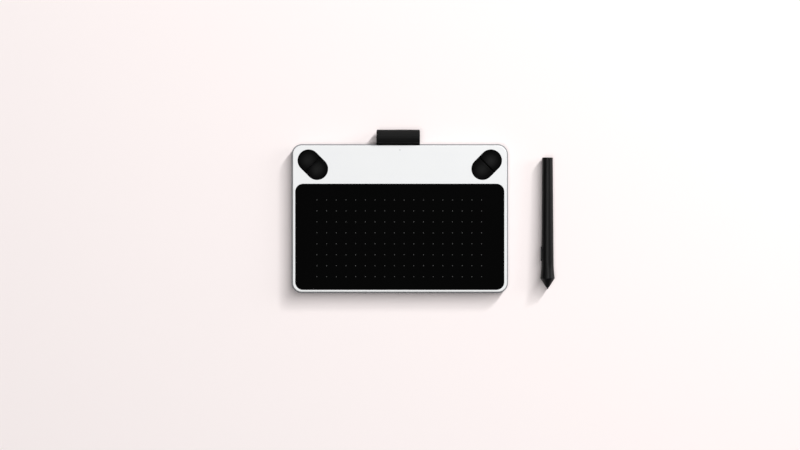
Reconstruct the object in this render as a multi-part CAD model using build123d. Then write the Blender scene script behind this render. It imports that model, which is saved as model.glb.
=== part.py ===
from build123d import *
import math
import os

# Pen drawing tablet with its pen lying beside it, in millimetres.
#
# Everything is modelled in the tablet's frame: the tablet's middle at X 0, Y 0, the desk at Z 0, +X to the
# user's right and +Y away from the user. export() then moves each node so that the origin is the middle of
# the footprint that the tablet and the pen take up together, at the desk.

# ---- Driving dimensions: casing ----
casing_width = 209.6
casing_depth = 144.2
casing_height = 10.0
casing_corner = 9.9
foot_proud = 0.8  # the feet stand this far below the bottom cover
wall = 1.6
floor_thickness = 1.5
top_band = 2.4  # height of the white band above the part line
top_plate = 1.6
top_inset = 1.2  # ledge of the bottom cover that shows all round the top cover
bottom_edge_radius = 2.6
top_edge_radius = 0.7
skirt_wall = 1.2
skirt_depth = 1.6
skirt_clearance = 0.15

# ---- Drawing sheet and the boards under it ----
sheet_side_margin = 3.7
sheet_front_margin = 3.2
rear_band = 38.4  # depth of the white band that carries the keys
sheet_corner = 7.6
sheet_thickness = 0.5
sheet_sunk = 0.05
sheet_clearance = 0.1
sensor_thickness = 0.8
shield_thickness = 0.3
sensor_side_gap = 13.0  # from the sheet's side edge to the sensor board's
sensor_front_gap = 5.7
sensor_rear_gap = 2.0
sensor_corner = 2.0
shield_inset = 2.0
support_post_radius = 2.2
support_post_pitch = 30.0

# ---- Keys: two pills at 45 degrees, each split into two caps ----
pill_length = 33.0
pill_width = 21.4
pill_from_side = 20.7
pill_from_rear = 19.9
key_clearance = 0.3
key_split = 0.9
key_proud = 0.35
key_travel = 0.5
key_flange = 1.0
key_flange_thickness = 0.75
key_flange_gap = 0.05
key_edge_radius = 0.6
key_wall = 1.6
key_crown = 1.0  # thickness of the cap under the dish
dish_depth = 0.4
dish_radius = 7.6
dish_from_split = 0.45
switch_from_split = 7.2
switch_side = 4.6
switch_height = 1.1
switch_lead_pitch = 3.0
switch_lead_width = 0.8
switch_lead_height = 0.3
plunger_radius = 1.1
plunger_clearance = 0.1
plunger_proud = 0.5  # above the switch body
plunger_floor = 0.15  # material left under the plunger's hole
plunger_over_travel = 0.05

# ---- Controller board, socket and indicator ----
board_thickness = 1.2
board_stake_gap = 0.1  # from the controller board up to the ends of the loop clamp's stakes
board_front_gap = 3.5  # behind the sheet's rear edge
board_rear_gap = 4.3  # in front of the casing's rear face
board_side_gap = 10.0
board_post_radius = 2.6
board_screw_from_edge = 4.0
board_screw_from_pill = 24.0
board_screw_stagger = 12.0
board_screw_grip = 1.8
board_screw_head = 0.9
led_from_rear = 5.6
led_length = 1.6
led_width = 0.9
led_height = 0.6
led_gap = 0.1
pipe_radius = 0.75
pipe_clearance = 0.05
pipe_passage = 0.6  # room round the pipe in the tape and its clamp
socket_width = 7.6
socket_height = 2.7
socket_depth = 5.2
socket_wall = 0.3
socket_corner = 0.8
socket_from_loop = 16.0
socket_set_back = 1.2
socket_board_gap = 0.1
socket_window_side = 0.7
socket_window_end = 0.5
tongue_width = 4.0
tongue_thickness = 0.7
tongue_set_back = 0.8
chip_from_front = 14.0
ribbon_left = 30.0
ribbon_width = 20.0
ribbon_thickness = 0.2
ribbon_level = 0.55  # above the controller board
connector_depth = 3.4
connector_height = 1.1
connector_wall = 1.0

# ---- Pen loop ----
loop_width = 42.0
loop_offset = -1.5
loop_bore_radius = 5.9
loop_thickness = 1.1
loop_stand_off = 0.1
loop_tail = 8.0  # length of tape clamped inside the casing
loop_window_gap = 0.1
clamp_depth = 4.4
clamp_thickness = 0.25
clamp_side_gap = 1.5
clamp_rear_gap = 0.2
stake_radius = 1.2
stake_clearance = 0.1
stake_spacing = 31.0
stake_end = 0.3  # how far a stake stands below the tape

# ---- Accessory compartment in the underside ----
bay_width = 52.0
bay_depth = 42.0
bay_height = 4.15
bay_ceiling = 0.8
bay_wall = 3.2
bay_from_side = 6.0
bay_from_board = 18.05  # from the compartment's rear to the controller board's front edge
bay_partition = 1.0
slide_roof = 1.2  # plastic above the door's slot, left of the compartment
battery_bay_width = 30.0
module_bay_depth = 24.0
contact_block = (12.0, 2.0)  # width, depth into the wall
contact_pitch = 3.6
contact_width = 1.4
contact_proud = 0.25
connector_block = (9.0, 2.0)
connector_from_side = 10.0
block_from_ceiling = 0.6
block_height = 2.6
door_thickness = 1.4
door_overlap = 1.0  # how far the door covers the compartment's rim at its sides
door_tongue = 1.0
door_tongue_thickness = 0.7
door_clearance = 0.15
door_clearance_above = 0.05
grip_count = 4
grip_pitch = 2.4
grip_width = 0.9
grip_depth = 0.4
grip_length = 16.0
grip_from_edge = 2.0

# ---- Fixings, feet, label and stored spares ----
screw_radius = 1.0
screw_length = 5.8
screw_head_radius = 1.9
screw_head_height = 1.3
screw_clearance = 0.05  # in the hole it cuts its thread into
screw_passage = 0.15  # in the hole it passes through
screw_head_passage = 0.2
screw_sunk = 0.8  # how far the heads lie inside the underside
screw_slot = 0.5
screw_slot_depth = 0.6
screw_from_side = 7.0
front_screw_from_front = 5.85
front_screw_from_side = 60.0
side_screw_from_bay = 22.0  # in front of the compartment
side_screw_from_sheet = 0.55
rear_screw_from_rear = 7.25
rear_screw_from_pill = 11.4
boss_radius = 2.5
post_extra = 0.5  # a bottom post is this much fatter than the boss it meets
boss_board_gap = 1.1
boss_end = 0.5  # plastic left above a screw's hole
seat_thickness = 1.4
foot_radius = 5.0
foot_pocket = 0.7
foot_edge_radius = 0.4
foot_clearance = 0.05
foot_from_side = 15.0
foot_from_end = 12.25
label_width = 46.0
label_depth = 24.0
label_thickness = 0.12
label_clearance = 0.1
label_from_bay = 30.0
spare_count = 3
spare_pitch = 3.2
spare_from_wall = 3.0
spare_end_gap = 0.5
puller_radius = 2.9
puller_bore_radius = 1.7
puller_height = 1.6
puller_gap = 1.2
puller_from_side = 6.0
puller_from_front = 13.6

# ---- Pen ----
pen_offset = 38.4  # pen axis from the tablet's right side
pen_tip_from_middle = 68.25
pen_length = 127.4
nib_radius = 0.8
nib_length = 22.4
nib_clearance = 0.15
nib_travel = 0.4
nose_start = 1.6
nose_tip_radius = 1.34
nose_radius = 6.97
nose_cone = 8.76
nose_ring = 2.7
nose_edge_radius = 0.5
ring_rear_radius = 6.72
flare_length = 11.5
grip_radius = 5.95
tail_radius = 5.25
barrel_bore_radius = 4.2
nose_sleeve = 5.8
pen_fit = 0.05
ferrite_from_tip = 7.4
ferrite_radius = 2.3
ferrite_bore_radius = 1.1
ferrite_length = 10.0
coil_thickness = 0.5
coil_length = 8.0
coil_clearance = 0.15
holder_radius = 2.0
holder_length = 5.8
holder_grip = 4.2  # length of nib inside the holder
holder_bore_clearance = 0.02
holder_running_clearance = 0.06
sensor_radius = 2.9
sensor_length = 4.5
sensor_gap = 0.1
chassis_gap = 0.2
chassis_length = 58.0
cap_disc = 1.4
cap_plug = 7.0
cap_wall = 1.2
cap_web = 1.0
cap_edge_radius = 0.35
rocker_start = 27.4
rocker_length = 13.8
rocker_width = 4.6
rocker_proud = 0.82
rocker_gap = 0.35
rocker_under = 0.4  # the pad's underside is this far outside the barrel's bore
rocker_saddle = 9.8  # radius of the finger hollow across the pad's middle
rocker_dip = 0.2
rocker_web = 3.0
rocker_hub_radius = 1.2
rocker_pivot_radius = 0.5
rocker_pivot_clearance = 0.03
rocker_pivot_depth = 2.6  # from the pen's axis
rocker_pivot_length = 5.0
rocker_switch_reach = 3.1
rocker_switch_gap = 0.22
ear_gap = 0.15
ear_thickness = 1.1
ear_half_length = 1.6
ear_reach = 3.7
pen_board_length = 42.0
pen_board_thickness = 1.0
pen_board_half_width = 3.0
pen_board_gap = 1.0
pen_switch_side = 2.5
pen_switch_height = 0.75
pen_button_radius = 0.6
pen_button_height = 0.4

# ---- Levels and edges worked out from the above ----
half_width = casing_width / 2
half_depth = casing_depth / 2
floor_top = foot_proud + floor_thickness
part_line = casing_height - top_band
plate_under = casing_height - top_plate
sheet_floor = casing_height - sheet_sunk - sheet_thickness
sheet_rear = half_depth - rear_band
sheet_front = -half_depth + sheet_front_margin
sheet_half_width = half_width - sheet_side_margin
shield_top = plate_under - sensor_thickness
shield_under = shield_top - shield_thickness
cavity_half_width = half_width - wall
cavity_half_depth = half_depth - wall
head_level = foot_proud + screw_sunk + screw_head_height  # the step under a case screw's head
seat_level = head_level + seat_thickness  # where the covers' posts meet
led_y = half_depth - led_from_rear
bay_left = -half_width + bay_from_side
bay_right = bay_left + bay_width
bay_rear = sheet_rear + board_front_gap - bay_from_board
bay_front = bay_rear - bay_depth
bay_top = foot_proud + door_thickness + door_clearance_above + bay_height
second_bay_left = bay_left + battery_bay_width + bay_partition
nib_store_front = bay_front + module_bay_depth + bay_partition
loop_y = half_depth + loop_stand_off + loop_bore_radius + loop_thickness
loop_z = plate_under - loop_thickness
tape_under = loop_z - loop_thickness
board_top = tape_under - stake_end - board_stake_gap
board_height = board_top - board_thickness
skirt_inside = cavity_half_depth - skirt_clearance - skirt_wall
clamp_y = skirt_inside - clamp_rear_gap - clamp_depth / 2
stake_places = [loop_offset - stake_spacing / 2, loop_offset + stake_spacing / 2]
plunger_top = board_top + switch_height + plunger_proud


def block(x_low, x_high, y_low, y_high, z_low, z_high):
    """A box from its lowest and highest corner."""
    corner = (Align.MIN, Align.MIN, Align.MIN)
    return Pos(x_low, y_low, z_low) * Box(x_high - x_low, y_high - y_low, z_high - z_low, align=corner)


def post(x, y, radius, z_low, z_high):
    """An upright cylinder."""
    return Pos(x, y, z_low) * Cylinder(radius, z_high - z_low, align=(Align.CENTER, Align.CENTER, Align.MIN))


def slab(width, depth, corner, z_low, z_high):
    """An upright block with rounded corners, centred on the tablet."""
    return Pos(0, 0, z_low) * extrude(RectangleRounded(width, depth, corner), z_high - z_low)


def case_screw_places():
    """The eight screws: two on each side, two behind the sheet and two along the front."""
    pill_x, _ = pill_centre(1)
    places = []
    for side in (-1, 1):
        places.append((side * (half_width - screw_from_side), bay_front - side_screw_from_bay))
        places.append((side * (half_width - screw_from_side), sheet_rear - side_screw_from_sheet))
        places.append((side * (pill_x - rear_screw_from_pill), half_depth - rear_screw_from_rear))
        places.append((side * (half_width - front_screw_from_side), -half_depth + front_screw_from_front))
    return places


def foot_places():
    x, y = half_width - foot_from_side, half_depth - foot_from_end
    return [(sx * x, sy * y) for sx in (-1, 1) for sy in (-1, 1)]


def board_screw_places():
    """Four screws that hold the controller board."""
    front_y = sheet_rear + board_front_gap + board_screw_from_edge
    rear_y = half_depth - board_rear_gap - board_screw_from_edge
    wide = pill_centre(1)[0] - board_screw_from_pill
    narrow = wide - board_screw_stagger
    return [(-wide, front_y), (wide, front_y), (-narrow, rear_y), (narrow, rear_y)]


def pill_centre(side):
    return side * (half_width - pill_from_side), half_depth - pill_from_rear


def pill_turn(side, outer):
    """Angle of a cap's own +X, which runs from the split line to the cap's round end."""
    return {(1, True): 45, (1, False): 225, (-1, True): 135, (-1, False): 315}[(side, outer)]


def at_pill(side, outer=True):
    x, y = pill_centre(side)
    return Pos(x, y, 0) * Rot(0, 0, pill_turn(side, outer))


def support_posts():
    """Posts under the shield plate, on a grid that leaves the compartment free."""
    columns = int((sheet_half_width - sensor_side_gap) // support_post_pitch)
    rows = int((sheet_rear - sheet_front) / 2 // support_post_pitch)
    middle_y = (sheet_rear + sheet_front) / 2
    keep_off = bay_wall + bay_partition + support_post_radius
    for column in range(-columns, columns + 1):
        for row in range(-rows, rows + 1):
            x, y = column * support_post_pitch, middle_y + row * support_post_pitch
            in_x = bay_left - keep_off < x < bay_right + keep_off
            in_y = bay_front - keep_off < y < bay_rear + keep_off
            if not (in_x and in_y):
                yield x, y


# ---- Bottom cover and the compartment's door ----
def bottom_outline():
    outer = slab(casing_width, casing_depth, casing_corner, foot_proud, part_line)
    return fillet(outer.faces().sort_by(Axis.Z)[0].edges(), bottom_edge_radius)


def door_slot(gap):
    """The T-shaped space of the door, larger by the gaps. It runs out through the left side."""
    gap_above = door_clearance_above if gap else 0.0
    x_low, x_high = -half_width - 1.0, bay_right + door_overlap + gap
    y_low, y_high = bay_front - door_overlap - gap, bay_rear + door_overlap + gap
    top = foot_proud + door_thickness
    tongue_low = top - door_tongue_thickness - gap_above
    plate = block(x_low, x_high, y_low, y_high, 0.0, top + gap_above)
    tongues = block(x_low, x_high, y_low - door_tongue, y_high + door_tongue, tongue_low, top + gap_above)
    return plate + tongues


def compartment_door():
    door = bottom_outline() & door_slot(0.0)
    y_low = (bay_front + bay_rear - grip_length) / 2
    for i in range(grip_count):
        x = bay_left + grip_from_edge + i * grip_pitch
        door -= block(x, x + grip_width, y_low, y_low + grip_length, foot_proud, foot_proud + grip_depth)
    return door


def compartment_outline(z_low, z_high):
    """An upright block as large as the compartment with its walls."""
    low_y, high_y = bay_front - bay_wall, bay_rear + bay_wall
    return block(bay_left - bay_partition, bay_right + bay_wall, low_y, high_y, z_low, z_high)


def compartment_walls():
    """The raised walls round the compartment, and the roof of the door's slot left of them."""
    low_y, high_y = bay_front - bay_wall, bay_rear + bay_wall
    inside_floor = floor_top - floor_thickness / 2
    roof = block(-cavity_half_width, bay_left, low_y, high_y, inside_floor, floor_top + slide_roof)
    return compartment_outline(foot_proud, bay_top) + roof


def compartment_ceiling():
    """The plate welded on the compartment's walls, between it and the boards."""
    return compartment_outline(bay_top, bay_top + bay_ceiling)


def compartment_space():
    """The three bays: battery, radio module, and the store for spare nibs."""
    low, high = foot_proud, bay_top
    bays = block(bay_left, bay_left + battery_bay_width, bay_front, bay_rear, low, high)
    bays += block(second_bay_left, bay_right, bay_front, bay_front + module_bay_depth, low, high)
    bays += block(second_bay_left, bay_right, nib_store_front, bay_rear, low, high)
    return bays


def battery_contact_block(forward):
    """The contacts' housing in the compartment's rear wall, reaching forward out of the wall."""
    width, depth = contact_block
    middle, high = bay_left + battery_bay_width / 2, bay_top - block_from_ceiling
    low_x, high_x = middle - width / 2, middle + width / 2
    return block(low_x, high_x, bay_rear - forward, bay_rear + depth, high - block_height, high)


def module_connector_block(rearward):
    """The module's connector in the compartment's front wall."""
    width, depth = connector_block
    middle, high = bay_right - connector_from_side, bay_top - block_from_ceiling
    low_x, high_x = middle - width / 2, middle + width / 2
    return block(low_x, high_x, bay_front - depth, bay_front + rearward, high - block_height, high)


def socket_centre():
    """Middle of the socket's mouth."""
    x = loop_offset - loop_width / 2 - socket_from_loop
    return x, half_depth - socket_set_back, board_height + board_thickness / 2


def socket_opening():
    """The window in the rear wall that the plug goes through."""
    x, y, z = socket_centre()
    width, height = socket_width + 2 * socket_window_side, socket_height + 2 * socket_window_end
    outline = RectangleRounded(width, height, socket_corner)
    reach = half_depth - skirt_inside + 2.0
    return Pos(x, half_depth, z) * Rot(90, 0, 0) * extrude(outline, reach, both=True)


def loop_window():
    """The slot in the rear walls that the loop's tape leaves through."""
    x, half = loop_offset, loop_width / 2 + loop_window_gap
    low_y, high_y = skirt_inside - 0.5, half_depth + 1.0
    return block(x - half, x + half, low_y, high_y, tape_under - loop_window_gap, plate_under)


def bottom_cover():
    cover = bottom_outline()
    cavity_corner = casing_corner - wall
    cover -= slab(2 * cavity_half_width, 2 * cavity_half_depth, cavity_corner, floor_top, casing_height)
    cover += compartment_walls()
    for x, y in case_screw_places():
        cover += post(x, y, boss_radius + post_extra, foot_proud, seat_level)
    for x, y in board_screw_places():
        cover += post(x, y, board_post_radius, foot_proud, board_height)
    for x, y in support_posts():
        cover += post(x, y, support_post_radius, foot_proud, shield_under)
    cover -= compartment_space()
    cover -= door_slot(door_clearance)
    cover -= battery_contact_block(0.0)
    cover -= module_connector_block(0.0)
    cover -= socket_opening()
    cover -= loop_window()
    for x, y in case_screw_places():
        cover -= post(x, y, screw_head_radius + screw_head_passage, 0.0, head_level)
        cover -= post(x, y, screw_radius + screw_passage, 0.0, seat_level)
    for x, y in board_screw_places():
        cover -= post(x, y, screw_radius + screw_clearance, board_height - board_screw_grip, board_height)
    for x, y in foot_places():
        cover -= post(x, y, foot_radius + foot_clearance, 0.0, foot_proud + foot_pocket)
    return cover - label_block(label_clearance)


def label_block(gap):
    """A shallow rectangle in the underside, right of the compartment."""
    x, half = bay_right + label_from_bay, label_depth / 2 + gap
    return block(x - gap, x + label_width + gap, -half, half, foot_proud, foot_proud + label_thickness)


# ---- Top cover ----
def sheet_outline(gap):
    width = 2 * (sheet_half_width + gap)
    depth = sheet_rear - sheet_front + 2 * gap
    return Pos(0, (sheet_rear + sheet_front) / 2, 0) * RectangleRounded(width, depth, sheet_corner + gap)


def top_cover():
    width, depth = casing_width - 2 * top_inset, casing_depth - 2 * top_inset
    cover = slab(width, depth, casing_corner - top_inset, part_line, casing_height)
    cover = fillet(cover.faces().sort_by(Axis.Z)[-1].edges(), top_edge_radius)
    skirt_width = 2 * (cavity_half_width - skirt_clearance)
    skirt_length = 2 * (cavity_half_depth - skirt_clearance)
    skirt_corner = casing_corner - wall - skirt_clearance
    cover += slab(skirt_width, skirt_length, skirt_corner, part_line - skirt_depth, part_line)
    cover -= slab(
        skirt_width - 2 * skirt_wall,
        skirt_length - 2 * skirt_wall,
        skirt_corner - skirt_wall,
        part_line - skirt_depth,
        plate_under,
    )
    for x, y in case_screw_places():
        cover += post(x, y, boss_radius, seat_level, plate_under)
        cover -= post(x, y, screw_radius + screw_clearance, seat_level, plate_under - boss_end)
    cover -= Pos(0, 0, sheet_floor) * extrude(sheet_outline(sheet_clearance), casing_height)
    pill = extrude(SlotOverall(pill_length, pill_width), casing_height)
    for side in (-1, 1):
        cover -= at_pill(side) * Pos(0, 0, part_line) * pill
    cover -= post(0, led_y, pipe_radius + pipe_clearance, 0.0, casing_height)
    cover -= loop_window()
    cover -= socket_opening()
    for x in stake_places:
        cover += post(x, clamp_y, stake_radius, tape_under - stake_end, plate_under)
    return cover


def drawing_sheet():
    return Pos(0, 0, sheet_floor) * extrude(sheet_outline(0.0), sheet_thickness)


# ---- Keys ----
def half_pill(length, width, z_low, z_high):
    """One half of a pill, on the +X side of its split line."""
    whole = Pos(0, 0, z_low) * extrude(SlotOverall(length, width), z_high - z_low)
    return whole & block(key_split / 2, length, -width, width, z_low, z_high)


def key_cap():
    length, width = pill_length - 2 * key_clearance, pill_width - 2 * key_clearance
    top = casing_height + key_proud
    flange_top = plate_under - key_flange_gap
    flange_low = flange_top - key_flange_thickness
    cap = half_pill(length, width, flange_low, top)
    cap = fillet(cap.faces().sort_by(Axis.Z)[-1].edges(), key_edge_radius)
    cap += half_pill(length + 2 * key_flange, width + 2 * key_flange, flange_low, flange_top)
    crown_under = top - dish_depth - key_crown
    hollow = half_pill(length - 2 * key_wall, width - 2 * key_wall, flange_low, crown_under)
    cap -= hollow & block(key_split / 2 + key_wall, length, -width, width, 0.0, top)
    cap += post(switch_from_split, 0, plunger_radius + post_extra, plunger_top, crown_under)
    sphere_radius = (dish_radius**2 + dish_depth**2) / (2 * dish_depth)
    dish_x = key_split / 2 + dish_from_split + dish_radius
    return cap - Pos(dish_x, 0, top - dish_depth + sphere_radius) * Sphere(sphere_radius)


def key_plunger():
    low = board_top + plunger_floor + key_travel + plunger_over_travel
    return post(switch_from_split, 0, plunger_radius, low, plunger_top)


def key_switch():
    half = switch_side / 2
    x = switch_from_split
    body = block(x - half, x + half, -half, half, board_top, board_top + switch_height)
    body -= post(x, 0, plunger_radius + plunger_clearance, board_top + plunger_floor, casing_height)
    reach, lead = half + switch_lead_width, switch_lead_width / 2
    for end in (-1, 1):
        lead_x = x + end * switch_lead_pitch / 2
        body += block(lead_x - lead, lead_x + lead, half, reach, board_top, board_top + switch_lead_height)
        body += block(lead_x - lead, lead_x + lead, -reach, -half, board_top, board_top + switch_lead_height)
    return body


# ---- Electronics ----
def sensor_outline():
    front, rear = sheet_front + sensor_front_gap, sheet_rear - sensor_rear_gap
    width = 2 * (sheet_half_width - sensor_side_gap)
    return Pos(0, (front + rear) / 2, 0) * RectangleRounded(width, rear - front, sensor_corner)


def sensor_board():
    return Pos(0, 0, shield_top) * extrude(sensor_outline(), sensor_thickness)


def shield_plate():
    return Pos(0, 0, shield_under) * extrude(offset(sensor_outline(), -shield_inset), shield_thickness)


def controller_board():
    half = half_width - board_side_gap
    front, rear = sheet_rear + board_front_gap, half_depth - board_rear_gap
    board = block(-half, half, front, rear, board_height, board_top)
    for x, y in case_screw_places():
        board -= post(x, y, boss_radius + boss_board_gap, 0.0, casing_height)
    for x, y in board_screw_places():
        board -= post(x, y, screw_radius + screw_passage, 0.0, casing_height)
    x, y, _ = socket_centre()
    half, front = socket_width / 2 + socket_board_gap, y - socket_depth - socket_board_gap
    return board - block(x - half, x + half, front, half_depth, 0.0, casing_height)


def board_screws():
    screws = Part()
    for x, y in board_screw_places():
        screws += post(x, y, screw_radius, board_height - board_screw_grip, board_top)
        screws += post(x, y, screw_head_radius, board_top, board_top + board_screw_head)
    return screws


def chip(x, y, width, depth, height):
    """A part soldered on the controller board."""
    return block(x - width / 2, x + width / 2, y - depth / 2, y + depth / 2, board_top, board_top + height)


def controller_chips():
    """Processor, radio, crystal and a row of six small parts."""
    y = sheet_rear + board_front_gap + chip_from_front
    chips = chip(12.0, y, 9.0, 9.0, 1.0) + chip(-8.0, y, 6.0, 6.0, 0.9) + chip(24.0, y + 1.0, 3.2, 5.0, 1.1)
    for i in range(6):
        chips += chip(-22.0 + i * 2.6, y + 7.5, 1.2, 2.0, 0.8)
    return chips


def status_led():
    return chip(0, led_y, led_length, led_width, led_height)


def light_pipe():
    return post(0, led_y, pipe_radius, board_top + led_height + led_gap, casing_height)


def usb_socket():
    x, y, z = socket_centre()
    half, tall = socket_width / 2, socket_height / 2
    shell = block(x - half, x + half, y - socket_depth, y, z - tall, z + tall)
    shell = fillet(shell.edges().filter_by(Axis.Y), socket_corner)
    half, tall = half - socket_wall, tall - socket_wall
    mouth = block(x - half, x + half, y - socket_depth + 2 * socket_wall, y, z - tall, z + tall)
    return shell - fillet(mouth.edges().filter_by(Axis.Y), socket_corner - socket_wall)


def usb_tongue():
    x, y, z = socket_centre()
    inner_end, half = y - socket_depth + 2 * socket_wall, tongue_width / 2
    return block(x - half, x + half, inner_end, y - tongue_set_back, z, z + tongue_thickness)


def ribbon_cable():
    """A flat cable: out of the sensor board's edge, down in an S, into the connector."""
    start_y, end_y = sheet_rear - sensor_rear_gap, connector_front() + connector_depth / 2
    high, low = plate_under - sensor_thickness / 2, board_top + ribbon_level
    bend = 0.45 * (high - low)
    middle = start_y + 2.0
    line = FilletPolyline((start_y, high), (middle, high), (middle, low), (end_y, low), radius=bend)
    return Pos(ribbon_left, 0, 0) * extrude(Plane.YZ * trace(line, ribbon_thickness), ribbon_width)


def connector_front():
    return sheet_rear + board_front_gap + 0.6


def ribbon_connector():
    y, level = connector_front(), board_top + ribbon_level
    x_low, x_high = ribbon_left, ribbon_left + ribbon_width
    low_x, high_x = x_low - connector_wall, x_high + connector_wall
    body = block(low_x, high_x, y, y + connector_depth, board_top, board_top + connector_height)
    slit = ribbon_thickness / 2
    return body - block(x_low, x_high, y, y + connector_depth / 2, level - slit, level + slit)


def battery_contacts():
    """A block that fills its pocket, with three raised contact strips."""
    middle, half = bay_left + battery_bay_width / 2, contact_width / 2
    strips = Part()
    for i in (-1, 0, 1):
        x = middle + i * contact_pitch
        strips += block(x - half, x + half, bay_front, bay_rear, foot_proud, bay_top)
    return battery_contact_block(0.0) + (battery_contact_block(contact_proud) & strips)


def module_connector():
    """A block that fills its pocket, with a slot for the module's edge."""
    body = module_connector_block(0.0)
    inner = body.bounding_box()
    slot_side, slot_end, slot_depth = 0.8, 0.7, 1.4
    return body - block(
        inner.min.X + slot_side,
        inner.max.X - slot_side,
        bay_front - slot_depth,
        bay_front,
        inner.min.Z + slot_end,
        inner.max.Z - slot_end,
    )


# ---- Pen loop ----
def pen_loop():
    """Two layers of woven tape from inside the casing, opening into a round loop the pen slides through."""
    ring = Pos(0, loop_y, loop_z) * Rot(0, 90, 0) * Cylinder(loop_bore_radius + loop_thickness, loop_width)
    front = half_depth - loop_tail
    half = loop_width / 2
    tape = block(-half, half, front, loop_y, tape_under, plate_under)
    loop = ring + tape
    loop -= Pos(0, loop_y, loop_z) * Rot(0, 90, 0) * Cylinder(loop_bore_radius, loop_width)
    loop = Pos(loop_offset, 0, 0) * loop
    for x in stake_places:
        loop -= post(x, clamp_y, stake_radius + stake_clearance, 0.0, casing_height)
    return loop - post(0, led_y, pipe_radius + pipe_passage, 0.0, casing_height)


def loop_clamp():
    """The bar under the tape's tail, pressed onto the top cover's two stakes."""
    half, deep = loop_width / 2 - clamp_side_gap, clamp_depth / 2
    x, y = loop_offset, clamp_y
    bar = block(x - half, x + half, y - deep, y + deep, tape_under - clamp_thickness, tape_under)
    for x in stake_places:
        bar -= post(x, y, stake_radius, 0.0, casing_height)
    return bar - post(0, led_y, pipe_radius + pipe_passage, 0.0, casing_height)


# ---- Screws, feet and stored spares ----
def case_screws():
    """Cross-slotted screws, put in from below."""
    screws = Part()
    low, narrow, wide = head_level - screw_head_height, screw_slot / 2, 0.65 * screw_head_radius
    for x, y in case_screw_places():
        screws += post(x, y, screw_head_radius, low, head_level)
        screws += post(x, y, screw_radius, head_level, low + screw_length)
        screws -= block(x - wide, x + wide, y - narrow, y + narrow, low, low + screw_slot_depth)
        screws -= block(x - narrow, x + narrow, y - wide, y + wide, low, low + screw_slot_depth)
    return screws


def rubber_feet():
    feet = Part()
    for x, y in foot_places():
        foot = post(x, y, foot_radius, 0.0, foot_proud + foot_pocket)
        feet += fillet(foot.edges().sort_by(Axis.Z)[0], foot_edge_radius)
    return feet


def nib_shape(length):
    """A nib along +Y with its round tip at Y 0."""
    outline = Line((0, 0), (0, length)) + Line((0, length), (nib_radius, length))
    outline += Line((nib_radius, length), (nib_radius, nib_radius))
    outline += RadiusArc((nib_radius, nib_radius), (0, 0), nib_radius)
    return revolve(make_face(outline), Axis.Y)


def spare_nibs():
    """Three nibs lying side by side against the compartment's ceiling."""
    x = second_bay_left + spare_end_gap
    spare = Rot(0, 0, -90) * nib_shape(bay_right - spare_end_gap - x)
    nibs = Part()
    for i in range(spare_count):
        nibs += Pos(x, nib_store_front + spare_from_wall + i * spare_pitch, bay_top - nib_radius) * spare
    return nibs


def nib_puller():
    """A small ring with a gap, pushed over a nib to pull it out."""
    x, y = second_bay_left + puller_from_side, nib_store_front + puller_from_front
    ring = post(x, y, puller_radius, bay_top - puller_height, bay_top)
    ring -= post(x, y, puller_bore_radius, 0.0, bay_top)
    return ring - block(x, x + puller_radius, y - puller_gap / 2, y + puller_gap / 2, 0.0, bay_top)


# ---- Pen: its own frame has the axis along +Y with the nib's tip at Y 0 and the rocker on the -X side ----
ring_front = nose_start + nose_cone
seam = ring_front + nose_ring
barrel_end = pen_length - cap_disc
sleeve_end = seam + nose_sleeve
nose_bore_radius = ferrite_radius + coil_thickness + coil_clearance
ferrite_end = ferrite_from_tip + ferrite_length
holder_start = nib_length - holder_grip
holder_end = holder_start + holder_length
sensor_start = holder_end + nib_travel + sensor_gap
sensor_end = sensor_start + sensor_length
chassis_radius = barrel_bore_radius - pen_fit
chassis_start = ferrite_end + chassis_gap
chassis_end = chassis_start + chassis_length
rocker_middle = rocker_start + rocker_length / 2
button_reach = pen_switch_height + pen_button_height
web_face = -rocker_pivot_depth + 0.63  # the web's inner face, against the buttons
board_face = web_face + rocker_switch_gap + button_reach  # the side of the pen board with the switches
spine_face = board_face + pen_board_thickness


def turned(*corners):
    """A solid turned about the pen's axis from its outline's corners, each (radius, Y)."""
    return revolve(make_face(Polyline(*corners, close=True)), Axis.Y)


def along_pen(radius, y_low, y_high):
    """A cylinder on the pen's axis."""
    upright = Cylinder(radius, y_high - y_low, align=(Align.CENTER, Align.CENTER, Align.MIN))
    return Pos(0, y_low, 0) * Rot(-90, 0, 0) * upright


def across_pen(radius, length):
    """A cylinder on the side switch's pivot."""
    return Pos(-rocker_pivot_depth, rocker_middle, 0) * Cylinder(radius, length)


def pen_nose():
    front, widest = (nose_tip_radius, nose_start), (nose_radius, ring_front)
    cone = turned((0, nose_start), front, widest, (ring_rear_radius, seam), (0, seam))
    widest_edge = cone.edges().filter_by(GeomType.CIRCLE).group_by(SortBy.RADIUS)[-1]
    nose = fillet(widest_edge, nose_edge_radius)
    nose += along_pen(barrel_bore_radius - pen_fit, ring_front, sleeve_end)
    nose -= along_pen(nib_radius + nib_clearance, 0.0, sleeve_end)
    return nose - along_pen(nose_bore_radius, ferrite_from_tip, sleeve_end)


def barrel_outside(grow=0.0):
    """The barrel's solid outside: a flare behind the seam, then a long straight taper."""
    waist = seam + flare_length
    taper = (tail_radius - grip_radius) / (barrel_end - waist)
    flare = Spline(
        (ring_rear_radius + grow, seam),
        (grip_radius + grow, waist),
        tangents=[(-0.09, 1.0), (taper, 1.0)],
    )
    outline = Line((0, seam), (ring_rear_radius + grow, seam)) + flare
    outline += Line((grip_radius + grow, waist), (tail_radius + grow, barrel_end))
    outline += Line((tail_radius + grow, barrel_end), (0, barrel_end)) + Line((0, barrel_end), (0, seam))
    return revolve(make_face(outline), Axis.Y)


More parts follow.
